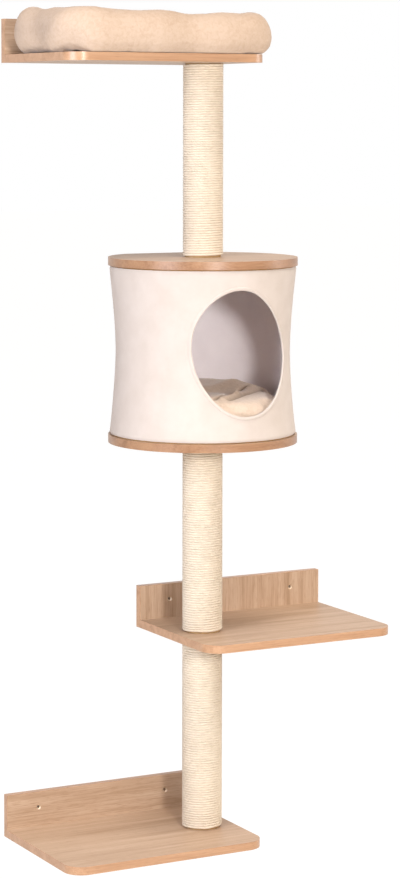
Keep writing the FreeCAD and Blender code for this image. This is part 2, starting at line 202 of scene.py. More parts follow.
def ropeMaterial():
    # natural sisal, three strands laid up: dry, matt, with stiff fibres along the strands
    material, shader = newMaterial("Sisal rope")
    uv = addNode(material, "ShaderNodeUVMap", uv_map="alongRope").outputs["UV"]
    split = addNode(material, "ShaderNodeSeparateXYZ", {"Vector": uv}).outputs
    turn = addNode(material, "ShaderNodeMath", {0: split["X"], 1: 1 / sisal["strandLength"]},
                   operation="MULTIPLY").outputs[0]
    around = addNode(material, "ShaderNodeMath", {0: split["Y"], 1: 3.0, 2: turn},
                     operation="MULTIPLY_ADD").outputs[0]
    angle = addNode(material, "ShaderNodeMath", {0: around, 1: 2 * math.pi},
                    operation="MULTIPLY").outputs[0]
    strands = addNode(material, "ShaderNodeMath", {0: angle}, operation="SINE").outputs[0]
    along = addNode(material, "ShaderNodeMath", {0: split["X"], 1: sisal["fibresAlong"]},
                    operation="MULTIPLY").outputs[0]
    across = addNode(material, "ShaderNodeMath", {0: around, 1: sisal["fibresAround"] / 3},
                     operation="MULTIPLY").outputs[0]
    fibreSpace = addNode(material, "ShaderNodeCombineXYZ", {"X": along, "Y": across}).outputs["Vector"]
    fibres = addNode(material, "ShaderNodeTexNoise", {
        "Vector": fibreSpace, "Scale": 1.0, "Detail": 3.0, "Roughness": 0.7}).outputs["Fac"]
    place = addNode(material, "ShaderNodeTexCoord").outputs["Object"]
    patches = addNode(material, "ShaderNodeTexNoise", {
        "Vector": place, "Scale": sisal["patchScale"], "Detail": 3.0, "Roughness": 0.6}).outputs["Fac"]
    # painted shade in the strands' grooves, painted light on their crowns
    strandPaintedLightAndShade = addNode(material, "ShaderNodeMapRange", {
        "Value": strands, "From Min": -1.0, "From Max": 0.2,
        "To Min": 0.0, "To Max": 1.0}).outputs["Result"]
    fromFront = addNode(material, "ShaderNodeMath", {0: split["Y"], 1: 0.5},
                        operation="SUBTRACT").outputs[0]
    toNeighbour = addNode(material, "ShaderNodeMath", {0: fromFront}, operation="ABSOLUTE").outputs[0]
    # painted light on each turn's outer face, painted shade towards its neighbours
    paintedCrestLightAndCreviceShade = addNode(material, "ShaderNodeMapRange", {
        "Value": toNeighbour, "From Min": sisal["creviceFrom"], "From Max": sisal["creviceTo"],
        "To Min": sisal["crestPaintedLight"], "To Max": sisal["crevicePaintedShade"]}).outputs["Result"]
    tone = addNode(material, "ShaderNodeMath", {0: strandPaintedLightAndShade, 1: sisal["strandGroovePaintedShade"], 2: fibres},
                   operation="MULTIPLY_ADD").outputs[0]
    tone = addNode(material, "ShaderNodeMath", {0: tone, 1: paintedCrestLightAndCreviceShade}, operation="ADD").outputs[0]
    tone = addNode(material, "ShaderNodeMath", {0: patches, 1: sisal["patchTint"], 2: tone},
                   operation="MULTIPLY_ADD").outputs[0]
    colour = addNode(material, "ShaderNodeValToRGB", {"Fac": tone},
                     stops=[(0.55, sisal["dark"]), (0.86, sisal["middle"]), (0.9583333, sisal["light"])])
    height = addNode(material, "ShaderNodeMath", {0: strands, 1: 0.3, 2: fibres},
                     operation="MULTIPLY_ADD").outputs[0]
    bump = addNode(material, "ShaderNodeBump", {"Height": height, "Strength": 0.3, "Distance": 0.0004})
    setShader(material, shader, {"Base Color": colour.outputs["Color"], "Roughness": 0.85,
                                 "Normal": bump.outputs["Normal"], "Specular IOR Level": 0.25,
                                 "Sheen Weight": 0.15, "Sheen Roughness": 0.5})
    return material


cloth = {
    "radius": 170 * mm, "weaveHeight": 0.35, "napTint": 0.35,
    "cover": {"base": "#C9BEB5", "shade": "#C2B6AC", "weave": 0.9 * mm, "mottle": 26.0, "nap": 900.0,
              "sheen": 0.1, "bump": 0.25},
    "lining": {"base": "#FBF5F8", "shade": "#F3ECF0", "weave": 1.0 * mm, "mottle": 20.0, "nap": 700.0,
               "sheen": 0.2, "bump": 0.3},
}


def fabricMaterial(name, look):
    # brushed suede-like polyester: a fine weave just showing through a short nap
    # its threads are drawn 0.9 or 1 mm apart, coarser than real, so that they show
    material, shader = newMaterial(name)
    place = addNode(material, "ShaderNodeTexCoord").outputs["Object"]
    thread = 2 * math.pi / look["weave"]
    split = addNode(material, "ShaderNodeSeparateXYZ", {"Vector": place}).outputs
    level = addNode(material, "ShaderNodeMath", {0: split["Z"], 1: thread},
                    operation="MULTIPLY").outputs[0]
    weft = addNode(material, "ShaderNodeMath", {0: level}, operation="SINE").outputs[0]
    centred = addNode(material, "ShaderNodeMapping", {
        "Vector": place, "Location": (-postX, -postY, 0)}).outputs["Vector"]
    turn = addNode(material, "ShaderNodeTexGradient", {"Vector": centred},
                   gradient_type="RADIAL").outputs["Fac"]
    threadsRound = round(2 * math.pi * cloth["radius"] / look["weave"])
    warpPhase = addNode(material, "ShaderNodeMath", {0: turn, 1: 2 * math.pi * threadsRound},
                        operation="MULTIPLY").outputs[0]
    warp = addNode(material, "ShaderNodeMath", {0: warpPhase}, operation="SINE").outputs[0]
    weave = addNode(material, "ShaderNodeMath", {0: weft, 1: warp}, operation="MULTIPLY").outputs[0]
    nap = addNode(material, "ShaderNodeTexNoise", {
        "Vector": place, "Scale": look["nap"], "Detail": 2.0, "Roughness": 0.6}).outputs["Fac"]
    mottle = addNode(material, "ShaderNodeTexNoise", {
        "Vector": place, "Scale": look["mottle"], "Detail": 4.0, "Roughness": 0.55}).outputs["Fac"]
    height = addNode(material, "ShaderNodeMath", {0: weave, 1: cloth["weaveHeight"], 2: nap},
                     operation="MULTIPLY_ADD").outputs[0]
    tone = addNode(material, "ShaderNodeMath", {0: nap, 1: cloth["napTint"], 2: mottle},
                   operation="MULTIPLY_ADD").outputs[0]
    colour = addNode(material, "ShaderNodeValToRGB", {"Fac": tone},
                     stops=[(0.42, look["shade"]), (0.85, look["base"])]).outputs["Color"]
    bump = addNode(material, "ShaderNodeBump", {
        "Height": height, "Strength": look["bump"], "Distance": 0.0003})
    setShader(material, shader, {"Base Color": colour, "Roughness": 0.92, "Normal": bump.outputs["Normal"],
                                 "Specular IOR Level": 0.2, "Sheen Weight": look["sheen"],
                                 "Sheen Roughness": 0.45})
    return material


pile = {
    "broadScale": 18.0, "broadTint": 0.4, "fibreTint": 0.35, "fibreHeight": 0.3,
    # the crease colours are painted shade, mixed in along the cushion's creases
    "bed": {"base": "#C2AC98", "shade": "#B8A08A", "paintedCreaseShadeColour": "#8C7462",
            "clump": 150.0, "fibre": 1400.0, "sheen": 0.2},
    "cushion": {"base": "#D9C5B2", "shade": "#CDB8A4", "paintedCreaseShadeColour": "#8C7967",
                "clump": 170.0, "fibre": 1500.0, "sheen": 0.35},
}


def plushMaterial(name, look):
    # short polyester plush: soft clumps of pile a few millimetres wide, bright at grazing angles
    material, shader = newMaterial(name)
    place = addNode(material, "ShaderNodeTexCoord").outputs["Object"]
    clumps = addNode(material, "ShaderNodeTexNoise", {
        "Vector": place, "Scale": look["clump"], "Detail": 3.0, "Roughness": 0.6,
        "Distortion": 0.6}).outputs["Fac"]
    fibres = addNode(material, "ShaderNodeTexNoise", {
        "Vector": place, "Scale": look["fibre"], "Detail": 2.0, "Roughness": 0.6}).outputs["Fac"]
    broad = addNode(material, "ShaderNodeTexNoise", {
        "Vector": place, "Scale": pile["broadScale"], "Detail": 2.0, "Roughness": 0.5}).outputs["Fac"]
    tone = addNode(material, "ShaderNodeMath", {0: fibres, 1: pile["fibreTint"], 2: clumps},
                   operation="MULTIPLY_ADD").outputs[0]
    tone = addNode(material, "ShaderNodeMath", {0: broad, 1: pile["broadTint"], 2: tone},
                   operation="MULTIPLY_ADD").outputs[0]
    colour = addNode(material, "ShaderNodeValToRGB", {"Fac": tone},
                     stops=[(0.62, look["shade"]), (0.98, look["base"])]).outputs["Color"]
    # the attribute holds painted shade along the cushion's creases; it is on the cushion only, and reads as
    # 0 elsewhere
    paintedCreaseShade = addNode(material, "ShaderNodeAttribute", attribute_name="paintedCreaseShade").outputs["Fac"]
    colour = addNode(material, "ShaderNodeMix", {0: paintedCreaseShade, 6: colour, 7: linear(look["paintedCreaseShadeColour"])},
                     data_type="RGBA").outputs[2]
    height = addNode(material, "ShaderNodeMath", {0: fibres, 1: pile["fibreHeight"], 2: clumps},
                     operation="MULTIPLY_ADD").outputs[0]
    bump = addNode(material, "ShaderNodeBump", {"Height": height, "Strength": 0.5, "Distance": 0.0016})
    setShader(material, shader, {"Base Color": colour, "Roughness": 0.95, "Normal": bump.outputs["Normal"],
                                 "Specular IOR Level": 0.15, "Sheen Weight": look["sheen"],
                                 "Sheen Roughness": 0.35})
    return material


def zincMaterial():
    # bright zinc-plated steel, turned and plated: slightly cloudy metal
    material, shader = newMaterial("Zinc plated steel")
    place = addNode(material, "ShaderNodeTexCoord").outputs["Object"]
    cloud = addNode(material, "ShaderNodeTexNoise", {
        "Vector": place, "Scale": 400.0, "Detail": 3.0, "Roughness": 0.6}).outputs["Fac"]
    colour = addNode(material, "ShaderNodeValToRGB", {"Fac": cloud},
                     stops=[(0.3, "#B9BABB"), (0.7, "#D2D2D0")]).outputs["Color"]
    rough = addNode(material, "ShaderNodeMapRange", {
        "Value": cloud, "To Min": 0.22, "To Max": 0.4}).outputs["Result"]
    setShader(material, shader, {"Base Color": colour, "Metallic": 1.0, "Roughness": rough})
    return material


def boardCoreMaterial(name, light, dark, scale):
    # raw wood fibre pressed or wound with glue: brown, matt, speckled
    material, shader = newMaterial(name)
    place = addNode(material, "ShaderNodeTexCoord").outputs["Object"]
    speckle = addNode(material, "ShaderNodeTexNoise", {
        "Vector": place, "Scale": scale, "Detail": 5.0, "Roughness": 0.7}).outputs["Fac"]
    colour = addNode(material, "ShaderNodeValToRGB", {"Fac": speckle},
                     stops=[(0.35, dark), (0.65, light)]).outputs["Color"]
    bump = addNode(material, "ShaderNodeBump", {"Height": speckle, "Strength": 0.3, "Distance": 0.0003})
    setShader(material, shader, {"Base Color": colour, "Roughness": 0.9, "Normal": bump.outputs["Normal"],
                                 "Specular IOR Level": 0.2})
    return material


lengthwise = laminateMaterial("Oak print laminate lengthwise", "x")
bandLengthwise = laminateMaterial("Oak print edge band", "x", face="band")
bandRound = laminateMaterial("Oak print edge band of the discs", "x", face="disc")
zinc = zincMaterial()
cardboard = boardCoreMaterial("Wound cardboard", "#B9986C", "#9C7C52", 260.0)
rawFibreboard = boardCoreMaterial("Raw fibreboard", "#B08A5E", "#8F6C46", 700.0)
ropeFibre = ropeMaterial()
coverCloth = fabricMaterial("Brushed cover cloth", cloth["cover"])
liningCloth = fabricMaterial("Lining cloth", cloth["lining"])
bedPlush = plushMaterial("Bed plush", pile["bed"])
cushionPlush = plushMaterial("Cushion plush", pile["cushion"])
print("materials made")


# ---------- working tools ----------

def only(piece):
    bpy.ops.object.select_all(action='DESELECT')
    piece.select_set(True)
    bpy.context.view_layer.objects.active = piece


def paint(piece, material):
    piece.data.materials.clear()
    piece.data.materials.append(material)


def applyModifiers(piece):
    only(piece)
    for modifier in list(piece.modifiers):
        bpy.ops.object.modifier_apply(modifier=modifier.name)


def smooth(piece, degrees=40):
    only(piece)
    bpy.ops.object.shade_smooth_by_angle(angle=math.radians(degrees))


def settle(piece):  # the object goes to the origin, its place into the mesh
    only(piece)
    bpy.ops.object.transform_apply(location=True, rotation=True, scale=True)


def faceOutwards(piece):
    only(piece)
    bpy.ops.object.mode_set(mode='EDIT')
    bpy.ops.mesh.select_all(action='SELECT')
    bpy.ops.mesh.normals_make_consistent(inside=False)
    bpy.ops.object.mode_set(mode='OBJECT')


def finishPiece(piece, material, body, replaced=()):
    paint(piece, material)
    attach(piece, body)
    if replaced:
        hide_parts(*replaced)


# ---------- board, steel and cardboard parts that keep their solids ----------

for shelf in ("lower", "middle", "upper"):
    paint(cadNodes[shelf + "_board"], lengthwise)
    paint(cadNodes[shelf + "_board_edge_band"], bandLengthwise)
    low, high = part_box(shelf + "_wall_panel")
    screws = [m for m in frame["record"]["mounts"] if m["name"] == shelf + "_wall_screws"][0]
    apart = screws["dims"]["spacing_x_mm"] * mm / 2
    holes = [(screws["pos_m"][0] + side * apart, low.y, screws["pos_m"][2]) for side in (-1, 1)]
    paint(cadNodes[shelf + "_wall_panel"], laminateMaterial(
        "Oak print laminate " + shelf + " panel", "z" if shelf == "middle" else "x", holes=holes))
    paint(cadNodes[shelf + "_panel_edge_band"], bandLengthwise)
    paint(cadNodes[shelf + "_panel_screws"], zinc)
    paint(cadNodes[shelf + "_post_tube"], cardboard)
    for end in ("bottom", "top"):
        paint(cadNodes[shelf + "_post_" + end + "_plug"], rawFibreboard)
for part in ("floor", "roof"):
    paint(cadNodes["condo_" + part], lengthwise)
    paint(cadNodes["condo_" + part + "_edge_band"], bandRound)
    paint(cadNodes["condo_" + part + "_ring"], rawFibreboard)
for part in ("post_threaded_inserts", "joint_bolts", "joint_stud", "condo_ring_screws"):
    paint(cadNodes[part], zinc)
print("solids painted")


# ---------- rope windings ----------

rope = {
    "thickness": 4.6 * mm,
    "squeezed": 1.06,         # each turn is pressed against its neighbours
    "sides": 10,
    "stepsPerTurn": 44,
    "wobble": 0.22 * mm,      # how unevenly the turns lie
    "endWobble": 0.7 * mm,    # more so at the ends
    "endReach": 14 * mm,
    "wobbleTurn": 2.2, "wobbleLevel": 90, "wobbleSeed": 7.3,
}


def roundCoordinates(mesh):
    return [(math.atan2(v.co.y, v.co.x), math.hypot(v.co.x, v.co.y), v.co.z) for v in mesh.vertices]


def layRopeMap(piece, laidRadius, pitch):
    # U runs along the rope in metres, V once round it
    mesh = piece.data
    spots = []
    for angle, radius, height in roundCoordinates(mesh):
        share = angle / (2 * math.pi)
        turn = round(height / pitch - share)
        centre = (turn + share) * pitch
        spots.append(((turn + share) * 2 * math.pi * laidRadius,
                      math.atan2(height - centre, radius - laidRadius) / (2 * math.pi) + 0.5))
    layer = mesh.uv_layers.new(name="alongRope")
    for polygon in mesh.polygons:
        corners = [spots[mesh.loops[i].vertex_index] for i in polygon.loop_indices]
        wraps = max(c[1] for c in corners) - min(c[1] for c in corners) > 0.5
        for i, (u, v) in zip(polygon.loop_indices, corners):
            layer.data[i].uv = (u, v + 1 if wraps and v < 0.5 else v)


def ropeWinding(name, post, seed):
    low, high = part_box(post + "_post_tube")
    laidRadius = (high.x - low.x) / 2 + rope["thickness"] / 2
    height = high.z - low.z
    turns = round(height / rope["thickness"]) - 1
    pitch = (height - rope["thickness"]) / turns
    bpy.ops.mesh.primitive_circle_add(vertices=rope["sides"], radius=rope["thickness"] / 2,
                                      location=(laidRadius, 0, 0), rotation=(math.pi / 2, 0, 0))
    piece = bpy.context.object
    piece.name = name
    piece.scale.y = rope["squeezed"]
    settle(piece)
    wind = piece.modifiers.new("Wind", 'SCREW')
    wind.axis = 'Z'
    wind.screw_offset = pitch
    wind.iterations = turns
    wind.steps = wind.render_steps = rope["stepsPerTurn"]
    applyModifiers(piece)
    layRopeMap(piece, laidRadius, pitch)
    bpy.ops.object.mode_set(mode='EDIT')
    bpy.ops.mesh.select_all(action='SELECT')
    bpy.ops.mesh.fill_holes(sides=0)
    bpy.ops.mesh.normals_make_consistent(inside=False)
    bpy.ops.object.mode_set(mode='OBJECT')
    for v, (angle, radius, level) in zip(piece.data.vertices, roundCoordinates(piece.data)):
        fromEnd = max(0.0, min(level, height - rope["thickness"] - level))
        size = rope["wobble"] + rope["endWobble"] * math.exp(-fromEnd / rope["endReach"])
        spot = Vector((math.cos(angle) * rope["wobbleTurn"], math.sin(angle) * rope["wobbleTurn"],
                       level * rope["wobbleLevel"] + seed * rope["wobbleSeed"]))
        radius += size * 0.5 * noise.noise(spot)
        level += size * noise.noise(spot + Vector((9.1, 4.7, 2.3)))
        level = min(max(level, -rope["thickness"] / 2), height - rope["thickness"] / 2)
        v.co = Vector((postX + radius * math.cos(angle), postY + radius * math.sin(angle),
                       low.z + rope["thickness"] / 2 + level))
    smooth(piece, 60)
    finishPiece(piece, ropeFibre, "root", [post + "_post_rope"])


for seed, post in enumerate(("lower", "middle", "upper")):
    ropeWinding(post + "_rope_winding", post, seed)
print("rope wound")


# ---------- condo sleeve ----------

coverLow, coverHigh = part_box("condo_cover")
sleeve = {
    "endRadius": (coverHigh.x - coverLow.x) / 2,
    "waistDraw": 11.5 * mm,
    "bow": 1.6,               # how squarely the profile turns in near its ends
    "hemGap": 2.4 * mm,       # between the sleeve's hem and the disc
    "coverThickness": 1.6 * mm,
    "liningInset": 1.8 * mm,
    "liningThickness": 1.2 * mm,
    "wallGap": -coverHigh.y,
    "cornerSoftness": 7 * mm,
    "around": 320,
    "rows": 88,
    "unevenness": 0.9 * mm,
    "flutes": 0.55 * mm,
    "fluteReach": 26 * mm,
    "hemRoll": 1.6 * mm,
    "hemRollReach": 3.5 * mm,
    "broadTurn": 1.6, "broadLevel": 7, "calmReach": 20 * mm,
    "fluteTurn": 6.5, "fluteLevel": 5, "topSeed": 11.0, "bottomSeed": 37.0,
    "flatBackShare": 0.985,   # of a full round's length
}
entrance = {
    "halfWidth": 97 * mm,
    "rise": 127 * mm,
    "drop": 104 * mm,
    "level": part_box("condo_floor")[0].z + 167 * mm,
    "lean": 12 * mm,          # the top of the opening leans to the left
    "point": 0.12,            # and is a little narrower than an oval
    "tilt": 6 * mm,           # the left side is fuller above its widest level
    "leftInset": 4 * mm,      # and flatter at it
    "tapeHalf": 3.5 * mm, "tapeDeep": 3.0 * mm, "tapeSunk": 1.7 * mm, "tapeSquare": 2.8,
    "hemWidth": 12 * mm,      # the folded and stitched margin round the opening
    "hemRise": 0.6 * mm,
    "stitchAway": 9.0 * mm, "stitchLength": 2.6 * mm, "stitchPitch": 3.6 * mm, "stitchRadius": 0.35 * mm,
    "cutterReach": 300 * mm, "cutterStop": 20 * mm,   # how far before the post it begins and ends
    "tapeStart": 0.95, "tapeWaviness": 0.3 * mm, "tapeWaveScale": 55,
}
sleeveMiddle = (coverLow.z + coverHigh.z) / 2
sleeveHalf = (coverHigh.z - coverLow.z) / 2 - sleeve["hemGap"]


def sleeveRadius(z):
    away = min(1.0, abs(z - sleeveMiddle) / sleeveHalf)
    return sleeve["endRadius"] - sleeve["waistDraw"] * (1 - away ** sleeve["bow"])


def eggPoint(turn, margin):
    # a point of the entrance's outline, as x and z, the turn running from 0 to 1
    side, lift = math.cos(2 * math.pi * turn), math.sin(2 * math.pi * turn)
    tall = max(0.0, lift)
    x = (entrance["halfWidth"] + margin) * side * (1 - entrance["point"] * tall ** 2)
    x -= entrance["lean"] * tall
    x -= 2 * entrance["tilt"] * lift * max(0.0, -side) - entrance["leftInset"] * max(0.0, -side) ** 2
    z = ((entrance["rise"] if lift > 0 else entrance["drop"]) + margin) * lift
    return postX + x, entrance["level"] + z


def beyondEgg(x, z):
    # roughly how far a point of the front lies outside the entrance, negative inside
    lift = z - entrance["level"]
    tall = min(1.0, max(0.0, lift / entrance["rise"]))
    wide = entrance["halfWidth"] * (1 - entrance["point"] * tall ** 2)
    high = entrance["rise"] if lift > 0 else entrance["drop"]
    across = (x - postX + entrance["lean"] * tall) / wide
    across += 2 * entrance["tilt"] / wide * (lift / high) * max(0.0, -across)
    reach = math.hypot(across, lift / high)
    return (reach - 1) * (wide + high) / 2


def hemLift(x, z):
    # the folded margin stands a little proud of the sleeve
    share = clamp(1 - (beyondEgg(x, z) - entrance["hemWidth"] / 2) * 2 / entrance["hemWidth"], 0.0, 1.0)
    return entrance["hemRise"] * eased(share)


def drape(angle, z):
    # how the stretched cloth departs from its even form
    fromEnd = max(0.0, sleeveHalf - abs(z - sleeveMiddle))
    turn = Vector((math.cos(angle), math.sin(angle), 0))
    broad = noise.noise(turn * sleeve["broadTurn"] + up * (z * sleeve["broadLevel"])) * sleeve["unevenness"]
    seed = sleeve["topSeed"] if z > sleeveMiddle else sleeve["bottomSeed"]
    flute = noise.noise(turn * sleeve["fluteTurn"] + up * (seed + z * sleeve["fluteLevel"]))
    flute *= sleeve["flutes"] * math.exp(-fromEnd / sleeve["fluteReach"])
    roll = sleeve["hemRoll"] * max(0.0, 1 - fromEnd / sleeve["hemRollReach"]) ** 2
    return broad * min(1.0, fromEnd / sleeve["calmReach"]) + flute - roll


def eggCutter(margin):
    bpy.ops.mesh.primitive_cylinder_add(vertices=144, radius=1, depth=1, end_fill_type='NGON')
    cutter = bpy.context.object
    front, back = postY - entrance["cutterReach"], postY - entrance["cutterStop"]
    for v in cutter.data.vertices:
        turn = math.atan2(v.co.y, v.co.x) / (2 * math.pi)
        x, z = eggPoint(turn % 1.0, margin)
        v.co = Vector((x, front if v.co.z > 0 else back, z))
    faceOutwards(cutter)
    return cutter


def sleeveLayer(name, inset, thickness, material, node):
    height = 2 * sleeveHalf
    bpy.ops.mesh.primitive_cylinder_add(vertices=sleeve["around"], radius=sleeve["endRadius"], depth=height,
                                        end_fill_type='NOTHING', location=(postX, postY, sleeveMiddle))
    piece = bpy.context.object
    piece.name = name
    settle(piece)
    bpy.ops.object.mode_set(mode='EDIT')
    bpy.ops.mesh.select_mode(type='EDGE')
    bpy.ops.mesh.select_all(action='DESELECT')
    bpy.ops.object.mode_set(mode='OBJECT')
    for edge in piece.data.edges:
        a, b = (piece.data.vertices[i].co for i in edge.vertices)
        edge.select = abs(a.z - b.z) > height / 2
    bpy.ops.object.mode_set(mode='EDIT')
    bpy.ops.mesh.subdivide(number_cuts=sleeve["rows"])
    bpy.ops.object.mode_set(mode='OBJECT')
    flatBack = -sleeve["wallGap"] - inset
    for v in piece.data.vertices:
        angle = math.atan2(v.co.y - postY, v.co.x - postX)
        radius = sleeveRadius(v.co.z) - inset + drape(angle, v.co.z)
        x, y = radius * math.cos(angle), postY + radius * math.sin(angle)
        if y < postY:
            grow = 1 + hemLift(postX + x, v.co.z) / radius
            x, y = x * grow, postY + (y - postY) * grow
        room = flatBack - y
        y = flatBack - (room + math.hypot(room, sleeve["cornerSoftness"])) / 2
        v.co.x, v.co.y = postX + x, y
    solid = piece.modifiers.new("Thickness", 'SOLIDIFY')
    solid.thickness = thickness
    solid.offset = -1
    solid.use_even_offset = True
    cutter = eggCutter(entrance["tapeHalf"])
    cut = piece.modifiers.new("Entrance", 'BOOLEAN')
    cut.object = cutter
    cut.operation = 'DIFFERENCE'
    cut.solver = 'EXACT'
    applyModifiers(piece)
    bpy.data.objects.remove(cutter)
    smooth(piece, 50)
    finishPiece(piece, material, "root", [node])
    return piece


def onSleeve(turn, margin, sunk):
    # a point of the cover's face beside the entrance, sunk into the cloth by the given depth
    x, z = eggPoint(turn, margin)
    radius = sleeveRadius(z)
    for step in range(2):
        y = -math.sqrt(radius ** 2 - (x - postX) ** 2)
        radius = sleeveRadius(z) + drape(math.atan2(y, x - postX), z) + hemLift(x, z) - sunk
    return Vector((x, postY + y, z))


def tubesAlong(name, lines, radius, resolution):
    tubes = bpy.data.curves.new(name, 'CURVE')
    tubes.dimensions = '3D'
    for points in lines:
        spline = tubes.splines.new('POLY')
        spline.points.add(len(points) - 1)
        for point, place in zip(spline.points, points):
            point.co = (*place, 1)
    tubes.bevel_depth = radius
    tubes.bevel_resolution = resolution
    tubes.use_fill_caps = True
    piece = bpy.data.objects.new(name, tubes)
    bpy.context.scene.collection.objects.link(piece)
    only(piece)
    bpy.ops.object.convert(target='MESH')
    return bpy.context.object


def entranceBinding():
    # the bound edge of the entrance: a folded strip rolled over both layers of cloth
    bpy.ops.mesh.primitive_torus_add(major_radius=1, minor_radius=0.3,
                                     major_segments=200, minor_segments=18)
    piece = bpy.context.object
    piece.name = "condo_entrance_binding"
    square = entrance["tapeSquare"]
    for v in piece.data.vertices:
        turn = math.atan2(v.co.y, v.co.x) / (2 * math.pi) % 1.0
        lie = math.atan2(v.co.z, math.hypot(v.co.x, v.co.y) - 1)
        full = (abs(math.cos(lie)) ** square + abs(math.sin(lie)) ** square) ** (-1 / square)
        spot = Vector(eggPoint(turn, 0)).to_3d() * entrance["tapeWaveScale"]
        wavy = entrance["tapeWaviness"] * noise.noise(spot)
        v.co = onSleeve(turn, entrance["tapeHalf"] * (entrance["tapeStart"] + full * math.cos(lie)) + wavy,
                        entrance["tapeSunk"] - entrance["tapeDeep"] * full * math.sin(lie))
    faceOutwards(piece)
    smooth(piece, 70)
    return piece


def entranceStitching():
    way = [onSleeve(i / 720, entrance["stitchAway"], 0) for i in range(721)]
    length = sum((b - a).length for a, b in zip(way, way[1:]))
    count = round(length / entrance["stitchPitch"])
    share = entrance["stitchLength"] / entrance["stitchPitch"] / count
    lines = []
    for i in range(count):
        ends = [onSleeve((i / count + share * k / 3) % 1.0, entrance["stitchAway"],
                         entrance["stitchRadius"] * (1.2 if k in (0, 3) else -0.1)) for k in range(4)]
        lines.append(ends)
    piece = tubesAlong("condo_entrance_stitching", lines, entrance["stitchRadius"], 1)
    smooth(piece, 60)
    return piece


cover = sleeveLayer("condo_cover_cloth", 0.0, sleeve["coverThickness"], coverCloth,
                    "condo_cover")
lining = sleeveLayer("condo_lining_cloth", sleeve["liningInset"], sleeve["liningThickness"],
                     liningCloth, "condo_lining")
binding = entranceBinding()
finishPiece(binding, coverCloth, "root", ["condo_hole_binding"])
finishPiece(entranceStitching(), coverCloth, "root")
print("condo sleeve made")


# ---------- soft pieces ----------

def inflate(piece, puff):
    # a short cloth simulation with air inside; no point moves further than the cap
    only(piece)
    before = [v.co.copy() for v in piece.data.vertices]
    modifier = piece.modifiers.new("Cloth", 'CLOTH')
    settings = modifier.settings
    settings.quality = 5
    settings.mass = 0.25
    settings.use_pressure = True
    settings.uniform_pressure_force = puff["pressure"]
    settings.shrink_min = -puff["spareCloth"]
    settings.tension_stiffness = settings.compression_stiffness = 12
    settings.bending_stiffness = puff["bending"]
    settings.effector_weights.gravity = 0
    modifier.point_cache.frame_start = 1
    modifier.point_cache.frame_end = puff["frames"]
    for step in range(1, puff["frames"] + 1):
        bpy.context.scene.frame_set(step)
    bpy.ops.object.modifier_apply(modifier=modifier.name)
    bpy.context.scene.frame_set(1)
    for v, start in zip(piece.data.vertices, before):
        moved = v.co - start
        if moved.length > puff["cap"]:
            v.co = start + moved.normalized() * puff["cap"]


def voxelSkin(piece, size):
    remesh = piece.modifiers.new("Skin", 'REMESH')
    remesh.mode = 'VOXEL'
    remesh.voxel_size = size
    applyModifiers(piece)


def subdivide(piece, levels):
    finer = piece.modifiers.new("Finer", 'SUBSURF')
    finer.levels = finer.render_levels = levels
    applyModifiers(piece)


bed = {
    "rimWidth": 76 * mm,
    "corner": 80 * mm,
    "startSmaller": 4 * mm,
    "squareFront": 3.2, "squareBelow": 1.8, "squareAbove": 1.95,   # the front sits down flat and full
    # how much higher the rim stands at places along the shelf
    "topShape": [(-0.205, 1 * mm), (-0.175, 2 * mm), (-0.118, -3 * mm), (-0.087, -6 * mm),
                 (-0.035, -4 * mm), (0.047, -2 * mm), (0.080, 0.0), (0.110, -6 * mm),
                 (0.165, 0.0), (0.22, 0.0)],
    "leftRise": 0.16, "riseFrom": -0.07, "riseTo": -0.16,
    "voxel": 6 * mm,
    "floorClear": 0.6 * mm,
    "puff": {"pressure": 3.0, "spareCloth": 0.09, "bending": 0.6, "frames": 22, "cap": 9 * mm},
    "padPuff": {"pressure": 2.0, "spareCloth": 0.07, "bending": 0.5, "frames": 18, "cap": 7 * mm},
    "lumps": 7.0 * mm, "lumpScale": 16,
    "sag": 3.0 * mm,
    "puckers": 2.4 * mm, "puckerReach": 18 * mm, "puckerScale": 85,
    "pile": 0.5 * mm, "pileScale": 260,
    # how far the rim may pass the solid's box
    "overLeft": 9 * mm, "overFront": 7 * mm, "overRight": 9 * mm, "overTop": 9 * mm,
    "padInset": 6 * mm, "padThick": 16 * mm, "padDrop": 4 * mm, "padSoft": 7 * mm, "padOverTop": 6 * mm,
    "padVoxel": 5 * mm,
}
bedLow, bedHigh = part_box("bed_bolster")


